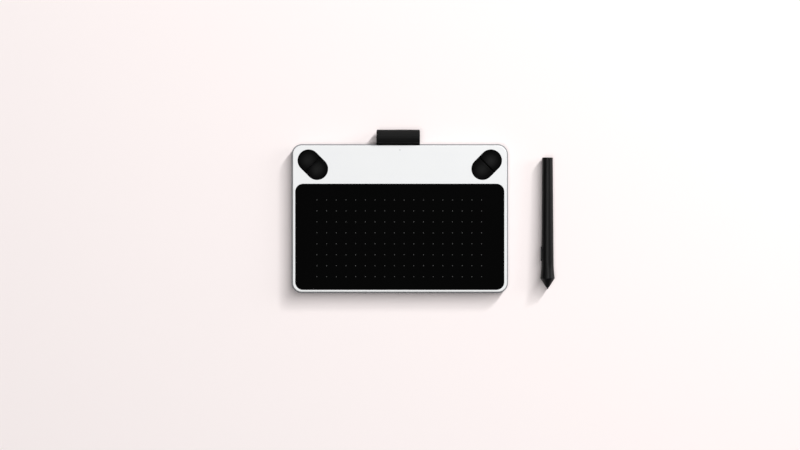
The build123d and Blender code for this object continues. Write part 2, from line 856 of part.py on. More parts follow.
def rocker_prism(grow, x_high):
    """A slot-shaped prism from outside the pen's -X side in to x_high, grown beyond the rocker's pad."""
    x_low = -nose_radius - rocker_proud
    prism = extrude(SlotOverall(rocker_length + 2 * grow, rocker_width + 2 * grow), x_high - x_low)
    return Pos(x_low, rocker_middle, 0) * Rot(0, 90, 0) * Rot(0, 0, 90) * prism


def pen_barrel():
    return barrel_outside() - along_pen(barrel_bore_radius, seam, barrel_end) - rocker_prism(rocker_gap, 0.0)


def pen_end_cap():
    disc = along_pen(tail_radius, barrel_end, pen_length)
    disc = fillet(disc.edges().sort_by(Axis.Y)[-1], cap_edge_radius)
    plug = along_pen(barrel_bore_radius - pen_fit, barrel_end - cap_plug, barrel_end)
    return disc + plug - along_pen(barrel_bore_radius - cap_wall, barrel_end - cap_plug, barrel_end - cap_web)


def side_switch():
    """The rocker: a rounded pad that stands proud of the barrel, on a web that carries the pivot hole."""
    pad = rocker_prism(0.0, -barrel_bore_radius - rocker_under) & barrel_outside(rocker_proud)
    saddle_x = -grip_radius - rocker_proud - rocker_saddle + rocker_dip
    pad -= Pos(saddle_x, rocker_middle, 0) * Cylinder(rocker_saddle, rocker_length)
    half, reach = rocker_web / 2, rocker_switch_reach + 1.0
    web_x = -barrel_bore_radius - rocker_under - 0.2
    web = block(web_x, web_face, rocker_middle - reach, rocker_middle + reach, -half, half)
    rocker = pad + web + across_pen(rocker_hub_radius, rocker_web)
    return rocker - across_pen(rocker_pivot_radius + rocker_pivot_clearance, rocker_web)


def switch_pivot():
    return across_pen(rocker_pivot_radius, rocker_pivot_length)


def nib_holder():
    bore = along_pen(nib_radius + holder_bore_clearance, holder_start, nib_length)
    return along_pen(holder_radius, holder_start, holder_end) - bore


def ferrite_core():
    core = along_pen(ferrite_radius, ferrite_from_tip, ferrite_end)
    return core - along_pen(ferrite_bore_radius, ferrite_from_tip, ferrite_end)


def antenna_coil():
    start = ferrite_from_tip + (ferrite_length - coil_length) / 2
    coil = along_pen(ferrite_radius + coil_thickness, start, start + coil_length)
    return coil - along_pen(ferrite_radius, start, start + coil_length)


def pressure_sensor():
    return along_pen(sensor_radius, sensor_start, sensor_end)


def pen_chassis():
    """Front tube that guides the nib's holder and seats the sensor, and a spine behind it for the board."""
    inside = along_pen(chassis_radius, sleeve_end, chassis_end)
    wide = 2 * chassis_radius
    body = along_pen(nose_bore_radius - pen_fit, chassis_start, sleeve_end) + inside
    body -= block(-wide, spine_face, sensor_end + pen_board_gap / 2, chassis_end, -wide, wide)
    ear_low = rocker_web / 2 + ear_gap
    for side_low in (ear_low, -ear_low - ear_thickness):
        y_low, y_high = rocker_middle - ear_half_length, rocker_middle + ear_half_length
        body += inside & block(-ear_reach, spine_face, y_low, y_high, side_low, side_low + ear_thickness)
    body -= along_pen(holder_radius + holder_running_clearance, chassis_start, sensor_start)
    body -= along_pen(sensor_radius, sensor_start, sensor_end)
    return body - across_pen(rocker_pivot_radius, rocker_pivot_length)


def pen_board():
    """A narrow board on the spine, notched at both sides for the pivot's ears."""
    half, start = pen_board_half_width, sensor_end + pen_board_gap
    board = block(board_face, spine_face, start, start + pen_board_length, -half, half)
    notch = ear_half_length + 2 * pen_fit
    neck = rocker_web / 2 + ear_gap - 2 * pen_fit
    for z_low, z_high in ((neck, half), (-half, -neck)):
        board -= block(board_face, spine_face, rocker_middle - notch, rocker_middle + notch, z_low, z_high)
    return board


def pen_board_switches():
    switches, half = Part(), pen_switch_side / 2
    button_base = (Align.CENTER, Align.CENTER, Align.MIN)
    button = Rot(0, -90, 0) * Cylinder(pen_button_radius, button_reach, align=button_base)
    for end in (-1, 1):
        y = rocker_middle + end * rocker_switch_reach
        switches += block(board_face - pen_switch_height, board_face, y - half, y + half, -half, half)
        switches += Pos(board_face, y, 0) * button
    return switches


def nib():
    return nib_shape(nib_length)


# ---- Placing and writing ----
pen_tilt = math.atan((tail_radius - nose_radius) / (pen_length - ring_front - 0.35))
pen_tip_height = (nose_radius + 0.01) * math.cos(pen_tilt) - ring_front * math.sin(pen_tilt)
pen_spot = Pos(half_width + pen_offset, -pen_tip_from_middle, pen_tip_height)
pen_place = pen_spot * Rot(math.degrees(pen_tilt), 0, 0)
footprint_x = (pen_offset + nose_radius) / 2
footprint_y = (-half_depth + loop_y + loop_bore_radius + loop_thickness) / 2

tablet_nodes = {
    "bottom_cover": bottom_cover(),
    "top_cover": top_cover(),
    "drawing_sheet": drawing_sheet(),
    "compartment_ceiling": compartment_ceiling(),
    "compartment_door": compartment_door(),
    "rubber_feet": rubber_feet(),
    "blank_label": label_block(0.0),
    "case_screws": case_screws(),
    "sensor_board": sensor_board(),
    "shield_plate": shield_plate(),
    "controller_board": controller_board(),
    "board_screws": board_screws(),
    "controller_chips": controller_chips(),
    "status_led": status_led(),
    "light_pipe": light_pipe(),
    "usb_socket": usb_socket(),
    "usb_tongue": usb_tongue(),
    "ribbon_cable": ribbon_cable(),
    "ribbon_connector": ribbon_connector(),
    "battery_contacts": battery_contacts(),
    "module_connector": module_connector(),
    "pen_loop": pen_loop(),
    "loop_clamp": loop_clamp(),
    "spare_nibs": spare_nibs(),
    "nib_puller": nib_puller(),
}
pen_nodes = {
    "pen_nose": pen_nose(),
    "pen_barrel": pen_barrel(),
    "pen_end_cap": pen_end_cap(),
    "side_switch": side_switch(),
    "switch_pivot": switch_pivot(),
    "nib": nib(),
    "nib_holder": nib_holder(),
    "ferrite_core": ferrite_core(),
    "antenna_coil": antenna_coil(),
    "pressure_sensor": pressure_sensor(),
    "pen_chassis": pen_chassis(),
    "pen_board": pen_board(),
    "pen_board_switches": pen_board_switches(),
}
switch_bodies = []
for side, side_name in ((-1, "left"), (1, "right")):
    for outer, place_name in ((True, "outer"), (False, "inner")):
        place = at_pill(side, outer)
        tablet_nodes[f"{side_name}_{place_name}_key"] = place * key_cap()
        tablet_nodes[f"{side_name}_{place_name}_plunger"] = place * key_plunger()
        switch_bodies.append(place * key_switch())
tablet_nodes["key_switches"] = Part() + switch_bodies

os.makedirs("parts", exist_ok=True)
to_origin = Pos(-footprint_x, -footprint_y, 0)
for name, shape in tablet_nodes.items():
    export_step(to_origin * shape, f"parts/{name}.step")
for name, shape in pen_nodes.items():
    export_step(to_origin * pen_place * shape, f"parts/{name}.step")
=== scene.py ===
"""Finish and soft pieces of a slim pen drawing tablet and its pen, in metres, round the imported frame."""
import math

import bpy
import numpy as np
from mathutils import Matrix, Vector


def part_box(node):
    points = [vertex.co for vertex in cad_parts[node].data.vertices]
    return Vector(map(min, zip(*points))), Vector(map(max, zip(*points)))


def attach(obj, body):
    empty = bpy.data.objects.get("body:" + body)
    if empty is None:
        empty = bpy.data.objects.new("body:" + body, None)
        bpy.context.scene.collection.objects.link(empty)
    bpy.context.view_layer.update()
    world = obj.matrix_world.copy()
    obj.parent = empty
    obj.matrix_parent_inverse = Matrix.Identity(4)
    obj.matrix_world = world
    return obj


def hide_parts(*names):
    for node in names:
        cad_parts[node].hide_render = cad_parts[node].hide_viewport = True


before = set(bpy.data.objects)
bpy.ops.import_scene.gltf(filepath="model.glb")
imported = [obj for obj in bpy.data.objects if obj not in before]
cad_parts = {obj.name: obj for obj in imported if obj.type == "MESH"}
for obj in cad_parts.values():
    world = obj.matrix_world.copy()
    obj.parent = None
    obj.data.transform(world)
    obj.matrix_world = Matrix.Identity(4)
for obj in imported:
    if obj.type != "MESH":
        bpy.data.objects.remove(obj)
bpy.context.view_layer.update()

# ---- Bottom cover, compartment ceiling and sliding door ----
# The lower half of the casing is one thin moulding of light grey ABS, with a slide-off door for the
# accessory compartment. The mould is spark eroded, so every outside face has a fine even satin grain.
mm = 0.001
roughness_drift = 0.05  # of a moulded face, each way


def linear(code):
    """Linear red, green, blue and alpha of an sRGB hex code.

    A part up to 0.04045 is divided by 12.92, and any other takes a 2.4 power.
    """
    parts = [int(code[i:i + 2], 16) / 255 for i in (1, 3, 5)]
    return [c / 12.92 if c <= 0.04045 else ((c + 0.055) / 1.055) ** 2.4 for c in parts] + [1.0]


def add(tree, kind, inputs=None, **settings):
    """Adds one node.

    inputs maps its sockets to values or to other nodes' outputs, and settings are its own options.
    """
    node = tree.nodes.new("ShaderNode" + kind)
    for option, value in settings.items():
        setattr(node, option, value)
    for socket, value in (inputs or {}).items():
        if isinstance(value, bpy.types.NodeSocket):
            tree.links.new(value, node.inputs[socket])
        else:
            node.inputs[socket].default_value = value
    return node


def new_material(name, **sockets):
    """A material with its shader's uniform values set, its tree, shader and object coordinates."""
    material = bpy.data.materials.new(name)
    material.use_nodes = True
    tree = material.node_tree
    shader = tree.nodes["Principled BSDF"]
    for socket, value in sockets.items():
        shader.inputs[socket.replace("_", " ")].default_value = value
    return material, tree, shader, add(tree, "TexCoord").outputs["Object"]


def noise(tree, place, size, detail):
    """Noise from 0 to 1 in patches of the given size, in millimetres."""
    return add(tree, "TexNoise", {"Vector": place, "Scale": 1 / mm / size, "Detail": detail}).outputs["Fac"]


def blend(tree, share, low, high):
    """The colour between two sRGB codes at a share from 0 to 1."""
    return add(tree, "Mix", {0: share, 6: linear(low), 7: linear(high)}, data_type="RGBA").outputs[2]


def between(tree, share, low, high):
    """The value between two values at a share from 0 to 1."""
    return add(tree, "MapRange", {"Value": share, "To Min": low, "To Max": high}).outputs[0]


def relief(tree, height, depth, strength=1.0):
    """The normal of a relief that stands depth millimetres high where height is 1."""
    return add(tree, "Bump", {"Height": height, "Distance": depth * mm, "Strength": strength}).outputs[0]


def connect(tree, shader, **outputs):
    """Links each output to the shader's socket of that name."""
    for socket, output in outputs.items():
        tree.links.new(output, shader.inputs[socket.replace("_", " ")])


def moulded(name, colour, shade, roughness, grain, depth, cloud=30.0, **sockets):
    """Moulded plastic: cloudy tint between two colours, roughness that drifts, and a fine grain.

    grain is the size of the texture's cells and depth its relief, both in millimetres. cloud is the size
    of the patches in which the tint and the roughness drift.
    """
    material, tree, shader, place = new_material(name, **sockets)
    drift = noise(tree, place, size=cloud, detail=3.0)
    cells = noise(tree, place, size=grain, detail=2.0)
    connect(tree, shader, Base_Color=blend(tree, drift, colour, shade),
            Roughness=between(tree, drift, roughness - roughness_drift, roughness + roughness_drift),
            Normal=relief(tree, cells, depth))
    return material


def dress(material, *nodes):
    """Gives the material to every slot of these nodes' objects."""
    for node in nodes:
        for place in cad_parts[node].material_slots:
            place.material = material


grey_abs = moulded("moulded_grey_abs", "#828386", "#7c7d80", 0.5, grain=0.35, depth=0.012, IOR=1.53)
dress(grey_abs, "bottom_cover", "compartment_ceiling", "compartment_door")

# ---- Rubber feet ----
# Four round feet cut from dark grey silicone rubber, glued in shallow pockets. The rubber is matt and
# slightly dusty, with the fine pitted skin of a cast sheet.
rubber = moulded("cast_silicone_rubber", "#3b3b3d", "#454547", 0.78, grain=0.5, depth=0.03, cloud=6.0,
                 IOR=1.41)
dress(rubber, "rubber_feet")

# ---- Label ----
# A blank rating label of silver-grey polyester film, stuck in its own shallow recess. The print on it is
# left out, so only the satin film shows.
label_film = moulded("printed_polyester_film", "#b6b7ba", "#adaeb2", 0.34, grain=0.8, depth=0.004, IOR=1.6)
dress(label_film, "blank_label")

# ---- Screws ----
# Small cross-head self-tapping screws of steel, zinc plated and clear passivated: bright, with a faint
# bluish-yellow cloud and fine turning marks.
zinc, tree, shader, place = new_material("zinc_plated_steel", Metallic=1.0)
cloud = noise(tree, place, size=1.5, detail=4.0)
scratch = noise(tree, place, size=0.12, detail=2.0)
connect(tree, shader, Base_Color=blend(tree, cloud, "#c3c6cc", "#b9b6a8"),
        Roughness=between(tree, cloud, low=0.24, high=0.4), Normal=relief(tree, scratch, depth=0.006))
dress(zinc, "case_screws", "board_screws", "nib_puller")

# ---- Circuit boards ----
# Glass-epoxy boards under solder mask. The green sensor board carries long antenna loops both ways, so its
# mask shows a square net of copper tracks. The boards under the keys are masked black, so no colour shows
# through the keys' gaps.


def calc(tree, operation, *values):
    """One arithmetic node on values or other nodes' outputs."""
    return add(tree, "Math", dict(enumerate(values)), operation=operation).outputs[0]


def track_mask(tree, place, axis, half_pitch, width):
    """1 on tracks across an axis: within half the width of a multiple of twice half_pitch."""
    along = add(tree, "SeparateXYZ", {0: place}).outputs[axis]
    away = calc(tree, "PINGPONG", along, half_pitch * mm)
    return calc(tree, "LESS_THAN", away, width / 2 * mm)


def circuit_board(name, mask_colour, track_colour, half_pitch, width, **sockets):
    """Mask that is lighter over copper tracks, which are a square net twice half_pitch apart."""
    material, tree, shader, place = new_material(name, IOR=1.5, **sockets)
    across = track_mask(tree, place, 0, half_pitch, width)
    along = track_mask(tree, place, 1, half_pitch, width)
    copper = calc(tree, "MAXIMUM", across, along)
    connect(tree, shader, Base_Color=blend(tree, copper, mask_colour, track_colour),
            Normal=relief(tree, copper, depth=0.03))
    return material


green_board = circuit_board("green_masked_board", "#0f4d27", "#23753c", half_pitch=3.0, width=0.4,
                            Roughness=0.28)
black_board = circuit_board("black_masked_board", "#030303", "#060606", half_pitch=1.27, width=0.25,
                            Roughness=0.5, Specular_IOR_Level=0.1)
dress(green_board, "sensor_board")
dress(black_board, "controller_board", "pen_board")

# ---- Shield plate ----
# Thin cold-rolled tinplate behind the sensor board. Rolling leaves fine straight lines along its length.


def streaks(tree, place, per_metre, detail):
    """Noise drawn out into lines. per_metre is how many patches a metre holds along each axis."""
    drawn_out = add(tree, "Mapping", {"Vector": place, "Scale": per_metre}).outputs[0]
    return add(tree, "TexNoise", {"Vector": drawn_out, "Scale": 1.0, "Detail": detail}).outputs["Fac"]


tinplate, tree, shader, place = new_material("rolled_tinplate", Metallic=1.0, Roughness=0.36)
lines = streaks(tree, place, per_metre=(20.0, 2500.0, 20.0), detail=3.0)
connect(tree, shader, Base_Color=blend(tree, lines, "#b2b3b2", "#c6c6c3"),
        Normal=relief(tree, lines, depth=0.008))
dress(tinplate, "shield_plate")

# ---- Chips, connectors and the pressure sensor ----
# Bodies of black glass-filled epoxy and LCP, moulded with a slightly rough, greyish skin.
epoxy = moulded("moulded_epoxy", "#1b1b1d", "#242426", 0.6, grain=0.15, depth=0.012, cloud=3.0, IOR=1.55)
dress(epoxy, "controller_chips", "usb_tongue", "ribbon_connector", "module_connector")
dress(epoxy, "battery_contacts", "pressure_sensor")

# ---- Key switches and plungers ----
# The switches are cream nylon bodies; the plungers and the pen's nib holder are black nylon, both plain
# smooth mouldings that show a faint flow cloud.
cream_nylon = moulded("moulded_cream_nylon", "#ddd9cd", "#d3cebf", 0.38, grain=0.3, depth=0.004, cloud=2.0)
black_nylon = moulded("moulded_black_nylon", "#1d1d1e", "#252526", 0.42, grain=0.25, depth=0.006, cloud=3.0)
dress(cream_nylon, "key_switches", "pen_board_switches")
dress(black_nylon, "left_outer_plunger", "left_inner_plunger", "right_outer_plunger", "right_inner_plunger")
dress(black_nylon, "nib_holder")

# ---- Inner mouldings ----
# The clamp of the loop's tape and the pen's chassis are natural black ABS, straight from a plain mould.
black_abs = moulded("moulded_black_abs", "#2a2a2b", "#333334", 0.5, grain=0.4, depth=0.01, cloud=8.0,
                    IOR=1.53)
dress(black_abs, "loop_clamp", "pen_chassis")

# ---- Data socket ----
# A folded shell of nickel-plated brass: bright and slightly warm, with faint drawing lines along it.
nickel, tree, shader, place = new_material("nickel_plated_brass", Metallic=1.0, Roughness=0.22)
lines = streaks(tree, place, per_metre=(6000.0, 300.0, 6000.0), detail=2.0)
connect(tree, shader, Base_Color=blend(tree, lines, "#c9c4ba", "#b5b0a6"),
        Normal=relief(tree, lines, depth=0.004))
dress(nickel, "usb_socket")

# ---- Ribbon cable ----
# Flat cable of tinned conductors 2 mm apart, laminated between two films of white polyester.
ribbon, tree, shader, place = new_material("laminated_flat_cable", IOR=1.6, Roughness=0.3)
wires = track_mask(tree, place, 0, half_pitch=1.0, width=0.6)
connect(tree, shader, Base_Color=blend(tree, wires, "#e4e5e6", "#a9abae"),
        Normal=relief(tree, wires, depth=0.05))
dress(ribbon, "ribbon_cable")

# ---- Status lamp and its light pipe ----
# A cream LED body on the board shines up through a small rod of clear polycarbonate in the rear band.
led_resin = moulded("moulded_led_resin", "#efe9d2", "#e6dfc4", 0.3, grain=0.3, depth=0.003, cloud=1.0)
dress(led_resin, "status_led")
clear_pc = moulded("moulded_clear_polycarbonate", "#f2f4f4", "#eceff0", 0.2, grain=0.4, depth=0.002,
                   cloud=1.0, IOR=1.585, Transmission_Weight=0.2)
dress(clear_pc, "light_pipe")

# ---- Top cover ----
# The upper shell is bright white ABS with a satin spark-eroded face and a small polished edge radius.
# It is screwed to the bottom cover from below, so nothing fixes it from above.
white_abs = moulded("moulded_white_abs", "#eaebeb", "#e6e7e8", 0.42, grain=0.35, depth=0.008, cloud=45.0,
                    IOR=1.53)
dress(white_abs, "top_cover")

# ---- Drawing sheet and its printed grid ----
# A black polyester overlay with a hard matt coat that gives the nib some bite. It is glued in the top
# cover's recess. A grid of small grey dots, screen printed in slightly raised ink, marks the active area.
overlay = moulded("matt_coated_polyester", "#010101", "#010101", 0.5, grain=0.12, depth=0.003, cloud=60.0,
                  IOR=1.5, Specular_IOR_Level=0.02)
dress(overlay, "drawing_sheet")

dot_columns = 18
dot_rows = 8
dot_pitch = (9.37, 10.61)
dot_radius = 0.45
dot_height = 0.03
dot_sides = 12
dome_lifts = (0.0, 45.0, 75.0)  # degrees up a dot's dome, a ring of points at each
grid_shift = (-0.53, -1.48)  # from the sheet's middle to the active area's


def grid_faces(rows, columns, close_rows=False, close_columns=False):
    """Quads of a grid of points stored row by row, joined back on itself where a side closes."""
    r = np.arange(rows if close_rows else rows - 1)[:, None]
    c = np.arange(columns if close_columns else columns - 1)[None, :]
    r_next, c_next = (r + 1) % rows, (c + 1) % columns
    corners = [r * columns + c, r * columns + c_next, r_next * columns + c_next, r_next * columns + c]
    return np.stack(corners, axis=-1).reshape(-1, 4)


def new_piece(name, points, faces, body, slot, material, smooth=True):
    """A mesh of these points, in millimetres, that rides on a body and takes the given material; slot is not
    used.
    """
    mesh = bpy.data.meshes.new(name)
    corners = (np.asarray(points).reshape(-1, 3) * mm).tolist()
    mesh.from_pydata(corners, [], [list(map(int, face)) for face in faces])
    mesh.update()
    mesh.polygons.foreach_set("use_smooth", [smooth] * len(mesh.polygons))
    mesh.materials.append(material)
    piece = bpy.data.objects.new(name, mesh)
    bpy.context.scene.collection.objects.link(piece)
    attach(piece, body)
    return piece


def low_domes(centres, radius, height, sides):
    """A low dome at each centre: rings on a circle's cap, cos for the radius and sin for the height."""
    turn = 2 * np.pi * np.arange(sides) / sides
    lift = np.radians(dome_lifts)[:, None]
    rings = np.stack([np.cos(lift) * np.cos(turn) * radius, np.cos(lift) * np.sin(turn) * radius,
                      np.sin(lift) * height + 0 * turn], axis=-1).reshape(-1, 3)
    dome = np.vstack([rings, [[0, 0, height]]])
    sides_of_dome = grid_faces(len(dome_lifts), sides, close_columns=True).tolist()
    tip = len(dome_lifts) * sides
    top_ring = tip - sides
    cap = [[top_ring + k, top_ring + (k + 1) % sides, tip] for k in range(sides)]
    foot = [list(range(sides))[::-1]]
    faces = sides_of_dome + cap + foot
    points = (np.asarray(centres)[:, None, :] + dome[None]).reshape(-1, 3)
    return points, [[i + n * len(dome) for i in face] for n in range(len(centres)) for face in faces]


sheet_low, sheet_high = (np.array(corner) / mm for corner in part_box("drawing_sheet"))
sheet_middle = (sheet_low + sheet_high) / 2
dot_x = (np.arange(dot_columns) - (dot_columns - 1) / 2) * dot_pitch[0] + sheet_middle[0] + grid_shift[0]
dot_y = (np.arange(dot_rows) - (dot_rows - 1) / 2) * dot_pitch[1] + sheet_middle[1] + grid_shift[1]
dot_z = np.full((dot_rows, dot_columns), sheet_high[2])
dot_centres = np.stack([*np.meshgrid(dot_x, dot_y), dot_z], axis=-1)
ink = moulded("screen_printed_ink", "#3c3c3c", "#424242", 0.5, grain=0.2, depth=0.004, cloud=20.0)
dots = low_domes(dot_centres.reshape(-1, 3), dot_radius, dot_height, dot_sides)
new_piece("printed_dots", *dots, "tablet", "drawing_surface", ink)

# ---- Keys ----
# Four finger keys in two pill-shaped openings, moulded in black polycarbonate-ABS with a satin face and
# a shallow dish. The middle of each key is painted a lighter grey as a painted highlight, and is a little
# glossier there.
key_edge = "#010101"
# The lighter grey of the painted highlight in the middle of each key.
key_painted_highlight = "#191919"
highlight_offset = 6.0  # from the pill's middle to the middle of the painted highlight
highlight_radius = 9.5
edge_rougher = 0.06  # than the plastic's middle roughness, away from the painted highlight
middle_smoother = 0.04


def plastic_with_painted_highlight(name, roughness):
    """Satin black plastic with a painted highlight: it fades to a lighter grey, a little glossier, round a
    spot on each key.

    The coordinates are mirrored about the tablet's middle and turned along a pill, so one formula serves all
    four keys: the distance from the highlight's middle is that of (|along| - highlight_offset, across).
    along and across are the sum and the difference of x and y, so every length here is the root of 2 too
    long.
    """
    material, tree, shader, place = new_material(name, IOR=1.5, Specular_IOR_Level=0.03)
    sides = ("right_outer", "right_inner")
    keys = [[np.array(corner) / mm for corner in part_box(f"{side}_key")] for side in sides]
    pill_x, pill_y = (np.min(keys, axis=(0, 1)) + np.max(keys, axis=(0, 1)))[:2] / 2
    parts = add(tree, "SeparateXYZ", {0: place}).outputs
    mirrored = calc(tree, "ABSOLUTE", calc(tree, "SUBTRACT", parts[0], sheet_middle[0] * mm))
    x = calc(tree, "SUBTRACT", mirrored, (pill_x - sheet_middle[0]) * mm)
    y = calc(tree, "SUBTRACT", parts[1], pill_y * mm)
    either = calc(tree, "ABSOLUTE", calc(tree, "ADD", x, y))
    along = calc(tree, "SUBTRACT", either, highlight_offset * math.sqrt(2) * mm)
    across = calc(tree, "SUBTRACT", x, y)
    point = add(tree, "CombineXYZ", {0: along, 1: across}).outputs[0]
    away = add(tree, "VectorMath", {0: point}, operation="LENGTH").outputs["Value"]
    reach = highlight_radius * math.sqrt(2) * mm
    painted_highlight_and_gloss = add(tree, "MapRange", {"Value": away, "From Max": reach, "To Min": 1.0, "To Max": 0.0},
                interpolation_type="SMOOTHSTEP").outputs[0]
    grain = noise(tree, place, size=0.25, detail=2.0)
    connect(tree, shader, Base_Color=blend(tree, painted_highlight_and_gloss, key_edge, key_painted_highlight),
            Roughness=between(tree, painted_highlight_and_gloss, roughness + edge_rougher, roughness - middle_smoother),
            Normal=relief(tree, grain, depth=0.003))
    return material


key_plastic = plastic_with_painted_highlight("moulded_black_pc_abs", 0.36)
dress(key_plastic, "left_outer_key", "left_inner_key", "right_outer_key", "right_inner_key")

# ---- Pen loop ----
# A piece of black polyester grosgrain tape, 42 mm wide, folded round the pen's bore. Both ends lie on
# each other in the casing's rear slot, where a bar clamps them. Thick weft cords make ribs across the tape.
tape_thickness = 1.1
rib_pitch = 1.95
rib_depth = 0.16
edge_radius = 0.5
turn_radius = 1.2  # of the tape's middle, where each end turns out of the slot into the ring
corner_draw = 0.45  # how far the edges are drawn in along the rear fold
fold_reach = 1.1  # from the rear fold, over which that draw fades
sag_height = 0.12  # of the slack waves across the ring
sag_waves = 1.5
sag_phase = 0.7
path_steps = 6000
samples_per_rib = 10
samples_across = 44
samples_per_edge = 5
warp_pitch = 0.7  # the real warp is about 0.25 mm, which would not show

loop_low, loop_high = (np.array(corner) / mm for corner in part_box("pen_loop"))
ring_radius = (loop_high[2] - loop_low[2] - tape_thickness) / 2
ring_y = loop_high[1] - tape_thickness / 2 - ring_radius
ring_z = (loop_high[2] + loop_low[2]) / 2
tape_width = loop_high[0] - loop_low[0]
loop_x = (loop_high[0] + loop_low[0]) / 2
half_gap = tape_thickness / 2
turn_y = ring_y - math.sqrt((ring_radius + turn_radius) ** 2 - (half_gap + turn_radius) ** 2)
turn_angle = math.atan2(ring_y - turn_y, half_gap + turn_radius)
straight = turn_y - loop_low[1]
turn_length = turn_radius * turn_angle
ring_length = 2 * ring_radius * (math.pi / 2 + math.asin((ring_y - turn_y) / (ring_radius + turn_radius)))
tape_length = 2 * (straight + turn_length) + ring_length


def tape_path(s):
    """Middle line of the tape as (y, z) and its heading, by length s along it.

    The heading is a sum of ramps: constant on the two straight ends, turning one way at the turn radius,
    the other way round the ring, and back again. The points are the running sum of short steps along it.
    """
    fine = np.linspace(0, tape_length, path_steps + 1)
    marks = np.cumsum([straight, turn_length, ring_length, turn_length])
    turned = np.cumsum([0, 0, turn_angle, -(math.pi + 2 * turn_angle), turn_angle, 0])
    headings = np.interp(fine, [0, *marks, tape_length], turned)
    step = fine[1] - fine[0]
    middle = (headings[1:] + headings[:-1]) / 2
    y = np.concatenate([[0], np.cumsum(np.cos(middle)) * step]) + loop_low[1]
    z = np.concatenate([[0], np.cumsum(np.sin(middle)) * step]) + ring_z + half_gap
    return np.interp(s, fine, y), np.interp(s, fine, z), np.interp(s, fine, headings)


def tape_section():
    """The tape's section as (across, out): flat outside, half-round edge, flat inside, half-round edge."""
    half = tape_width / 2 - edge_radius
    flat = np.linspace(-1, 1, samples_across) * half
    bend = np.radians(np.linspace(90, -90, samples_per_edge + 2))[1:-1]
    edge_x, edge_n = np.cos(bend) * edge_radius, np.sin(bend) * tape_thickness / 2
    across = np.concatenate([flat, half + edge_x, flat[::-1], -half - edge_x])
    out = np.concatenate([0 * flat + tape_thickness / 2, edge_n, 0 * flat - tape_thickness / 2, -edge_n])
    return across, out


rib_count = round(tape_length / rib_pitch)
rows = rib_count * samples_per_rib + 1
s = np.linspace(0, tape_length, rows)
y, z, heading = tape_path(s)
across, out = tape_section()
rib = 1 - (2 * ((s / tape_length * rib_count) % 1) - 1) ** 2
ribbed = out / (tape_thickness / 2) * (tape_thickness / 2 - rib_depth)
level = ribbed[None, :] + np.sign(out)[None, :] * rib_depth * rib[:, None]
drawn_in = 1 - corner_draw / (tape_width / 2) * np.exp(-((loop_high[1] - y) / fold_reach) ** 2)
waves = np.sin(across / tape_width * 2 * np.pi * sag_waves + sag_phase)
level = level + sag_height * waves[None, :] * np.sin(heading / 2)[:, None] ** 2
points = np.stack([
    loop_x + across[None, :] * drawn_in[:, None],
    y[:, None] - np.sin(heading)[:, None] * level,
    z[:, None] + np.cos(heading)[:, None] * level,
], axis=-1)
columns = len(across)
tape_faces = grid_faces(rows, columns, close_columns=True)
ends = [list(range(columns)), list(range((rows - 1) * columns, rows * columns))[::-1]]

grosgrain, tree, shader, place = new_material("woven_polyester_grosgrain", Roughness=0.65, IOR=1.5,
                                              Sheen_Weight=0.04, Sheen_Roughness=0.4,
                                              Specular_IOR_Level=0.15)
weave = add(tree, "SeparateXYZ", {0: add(tree, "UVMap", uv_map="weave").outputs[0]}).outputs
perimeter = 2 * (tape_width + tape_thickness)
warp_turns = calc(tree, "MULTIPLY", weave[0], perimeter / warp_pitch * math.pi)
warp = calc(tree, "ABSOLUTE", calc(tree, "SINE", warp_turns))
cord_turns = calc(tree, "MULTIPLY", weave[1], rib_count * math.pi)
cord = calc(tree, "ABSOLUTE", calc(tree, "SINE", cord_turns))
top = calc(tree, "MULTIPLY", cord, warp)
# The colour is painted shade: darker in the grooves between cords and warp threads than on their tops, with
# a random tone.
painted_groove_shade_and_tone = calc(tree, "MULTIPLY", top, noise(tree, place, size=0.5, detail=3.0))
connect(tree, shader, Base_Color=blend(tree, painted_groove_shade_and_tone, "#030303", "#1e1e1e"),
        Normal=relief(tree, top, depth=0.06, strength=0.8))

tape = new_piece("woven_pen_loop", points, tape_faces.tolist() + ends, "tablet", "woven_tape", grosgrain)
side_u = np.arange(columns + 1) / columns
row_v = np.arange(rows) / (rows - 1)
u, v = np.meshgrid(side_u, row_v)
corner_uv = np.stack([u, v], axis=-1)
corner_uv = np.stack([corner_uv[:-1, :-1], corner_uv[:-1, 1:], corner_uv[1:, 1:], corner_uv[1:, :-1]],
                     axis=2)
end_uv = np.zeros((2 * columns, 2))
tape_uv = tape.data.uv_layers.new(name="weave")
tape_uv.data.foreach_set("uv", np.vstack([corner_uv.reshape(-1, 2), end_uv]).astype(np.float32).ravel())
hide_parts("pen_loop")

# ---- Pen ----
# The barrel and its end cap are ABS under a soft-touch coat; the nose and the side switch are bare satin
# polycarbonate; the nib is acetal. The coat is matt, with a low broad highlight.
soft_touch = moulded("soft_touch_coated_abs", "#070707", "#0a0a0a", 0.36, grain=0.2, depth=0.005, cloud=14.0,
                     IOR=1.5, Specular_IOR_Level=0.2)
nose_plastic = moulded("moulded_black_polycarbonate", "#070708", "#0a0a0b", 0.36, grain=0.25, depth=0.003,
                       cloud=8.0, IOR=1.5, Specular_IOR_Level=0.2)
acetal = moulded("turned_black_acetal", "#262627", "#2e2e2f", 0.4, grain=0.1, depth=0.004, cloud=2.0,
                 IOR=1.48)
dress(soft_touch, "pen_barrel", "pen_end_cap")
dress(nose_plastic, "pen_nose", "side_switch")
dress(acetal, "nib", "spare_nibs")

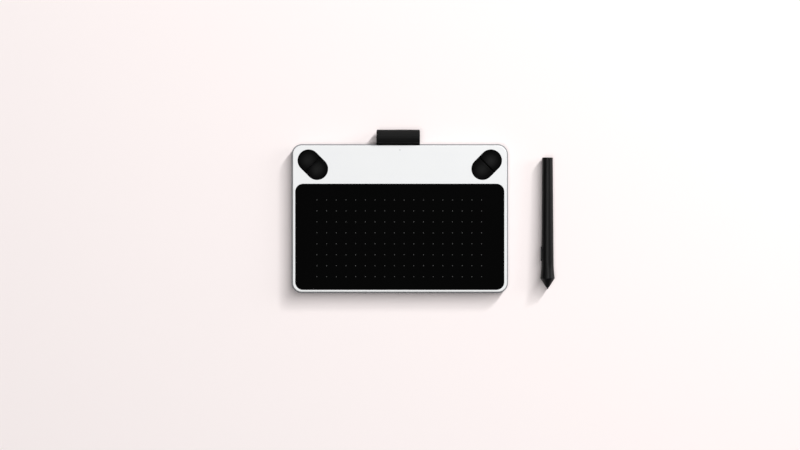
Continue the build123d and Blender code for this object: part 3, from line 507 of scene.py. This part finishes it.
# ---- Pen core ----
# A sintered ferrite rod under a coil of enamelled copper wire, and the steel pin of the side switch.
ferrite = moulded("sintered_ferrite", "#38383b", "#44444a", 0.55, grain=0.15, depth=0.02, cloud=2.0, IOR=2.2)
dress(ferrite, "ferrite_core")
wire_scale = 1 / mm / 0.2 / (2 * math.pi)  # of the wave, which puts the turns about 0.4 mm apart
copper, tree, shader, place = new_material("enamelled_copper_wire", Metallic=1.0, Roughness=0.26,
                                           Coat_Weight=0.6)
# The wire's colour is painted shade: darker in the grooves between turns than on their crests.
turns = add(tree, "TexWave", {"Vector": place, "Scale": wire_scale, "Distortion": 0.0},
            bands_direction="Y").outputs["Fac"]
connect(tree, shader, Base_Color=blend(tree, turns, "#7a3413", "#c8713a"),
        Normal=relief(tree, turns, depth=0.08))
dress(copper, "antenna_coil")
pin_steel, tree, shader, place = new_material("ground_stainless_steel", Metallic=1.0, Roughness=0.2)
lines = noise(tree, place, size=0.08, detail=2.0)
connect(tree, shader, Base_Color=blend(tree, lines, "#cfcfcd", "#bcbdbd"))
dress(pin_steel, "switch_pivot")

# ---- Table, light and camera ----
# A pale table under soft studio light: one tall narrow softbox from the rear right, which draws shadows
# that fade towards the user's left, and broad fill lights. The camera looks straight down.
table_size = 8.0
studio_tint = (1.0, 0.985, 0.98, 1.0)
studio_strength = 0.1
table_mesh = bpy.data.meshes.new("table")
half = table_size / 2
table_corners = [(-half, -half, 0), (half, -half, 0), (half, half, 0), (-half, half, 0)]
table_mesh.from_pydata(table_corners, [], [(0, 1, 2, 3)])
table = bpy.data.objects.new("table", table_mesh)
bpy.context.scene.collection.objects.link(table)
table_paint = moulded("painted_table", "#fbf2f1", "#fbf2f1", 0.9, grain=4.0, depth=0.0, cloud=400.0,
                      Specular_IOR_Level=0.0)
table_mesh.materials.append(table_paint)

world = bpy.data.worlds.new("studio")
world.use_nodes = True
world.node_tree.nodes["Background"].inputs["Color"].default_value = studio_tint
world.node_tree.nodes["Background"].inputs["Strength"].default_value = studio_strength
bpy.context.scene.world = world
bpy.context.scene.view_settings.view_transform = "Standard"

tablet_low, tablet_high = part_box("bottom_cover")
tablet_x = (tablet_low.x + tablet_high.x) / 2
tablet_y = (tablet_low.y + tablet_high.y) / 2


def softbox(name, low, high, width, power):
    """A flat light between two points, the given width across, that faces the tablet's middle."""
    low, high = np.array(low, float), np.array(high, float)
    middle = (low + high) / 2
    up = (high - low) / np.linalg.norm(high - low)
    back = middle - np.array([tablet_x, tablet_y, 0])
    back = back - up * (back @ up)
    back = back / np.linalg.norm(back)
    side = np.cross(up, back)
    lamp = bpy.data.lights.new(name, "AREA")
    lamp.shape = "RECTANGLE"
    lamp.size = width
    lamp.size_y = float(np.linalg.norm(high - low))
    lamp.energy = power
    box = bpy.data.objects.new(name, lamp)
    matrix = np.eye(4)
    matrix[:3, 0], matrix[:3, 1], matrix[:3, 2], matrix[:3, 3] = side, up, back, middle
    box.matrix_world = Matrix(matrix)
    box.visible_camera = False
    bpy.context.scene.collection.objects.link(box)


def aloft(bearing, elevation, distance):
    """A point at that bearing from +X towards +Y, elevation and distance from the tablet's middle."""
    a, e = math.radians(bearing), math.radians(elevation)
    return (tablet_x + distance * math.cos(e) * math.cos(a), tablet_y + distance * math.cos(e) * math.sin(a),
            distance * math.sin(e))


# The key light is a tall stack of narrow panels. Each gives the table the same light, so the lower ones are
# the brighter, and a shadow fades evenly from the casing's foot to the reach of the lowest panel.
key_bearing = 53
key_distance = 4.0
key_width = 0.3
key_share = 0.168  # of each panel, as the brightness it gives a white table
key_panels = ((21, 27), (27, 38), (38, 57), (57, 86))  # low and high elevation of each
for low, high in key_panels:
    lift = math.sin(math.radians((low + high) / 2))
    power = key_share * math.pi ** 2 * key_distance ** 2 / lift
    softbox(f"key_{low}", aloft(key_bearing, low, key_distance), aloft(key_bearing, high, key_distance),
            key_width, power)

# The fills are broad panels: bearing, low and high elevation, distance, width and power of each.
fills = {"fill_left": (228, 66, 82, 3.4, 1.6, 25.0), "side_right": (16, 2, 28, 3.0, 1.2, 24.0)}
for name, (bearing, low, high, distance, width, power) in fills.items():
    softbox(name, aloft(bearing, low, distance), aloft(bearing, high, distance), width, power)

camera_height = 2.16
camera_shift = (0.24, -6.15)  # from the casing's middle, in millimetres
camera_data = bpy.data.cameras.new("camera")
camera_data.lens = 100.0
camera_data.sensor_width = 36.0
camera = bpy.data.objects.new("camera", camera_data)
camera.location = (tablet_x + camera_shift[0] * mm, tablet_y + camera_shift[1] * mm, camera_height)
bpy.context.scene.collection.objects.link(camera)
bpy.context.scene.camera = camera
